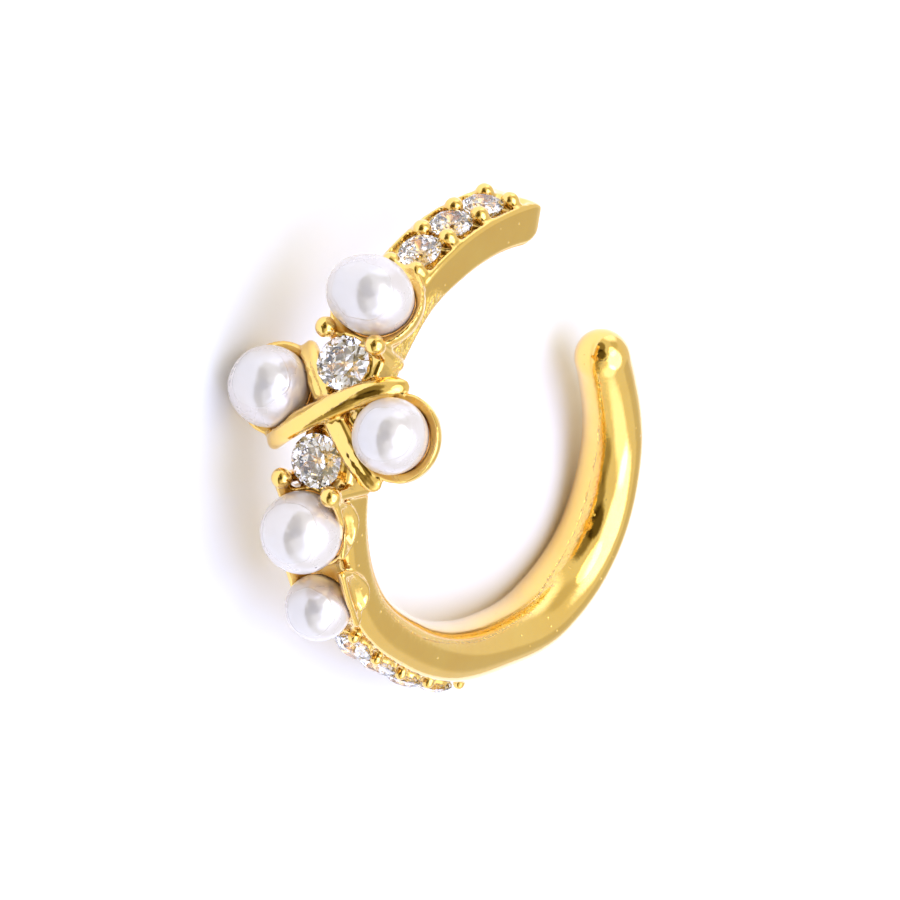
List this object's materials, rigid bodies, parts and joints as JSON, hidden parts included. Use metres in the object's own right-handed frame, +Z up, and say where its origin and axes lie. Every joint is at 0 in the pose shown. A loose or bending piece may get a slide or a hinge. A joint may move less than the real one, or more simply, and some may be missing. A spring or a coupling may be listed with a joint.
{
  "type": "ear cuff",
  "caption": "Open hoop ear cuff in gold-coloured metal, with crossed bands, round pearls and round clear stones, that slips over the edge of an ear.",
  "frame": {"origin": "centre of the bounding box's underside, on the surface the cuff lies on", "axes": "+Z up, close to the hoop's axis; -Y towards the crossed bands and pearls; -X towards the arm set with stones and +X towards the hoop's back"},
  "size_m": [0.0166, 0.0206, 0.0077],
  "materials": {
    "gold": "polished yellow gold plating",
    "pearl": "lustrous cream white nacre",
    "stone": "clear faceted stone"
  },
  "bodies": {
    "root": {"cuff_body": "gold", "pearl_top": "pearl", "pearl_far": "pearl", "pearl_near": "pearl", "pearl_lower_1": "pearl", "pearl_lower_2": "pearl", "stone_motif_upper": "stone", "stone_motif_lower": "stone", "stone_arm_1": "stone", "stone_arm_2": "stone", "stone_arm_3": "stone", "stone_low_1": "stone", "stone_low_2": "stone", "stone_low_3": "stone", "stone_low_4": "stone"}
  },
  "joints": []
}
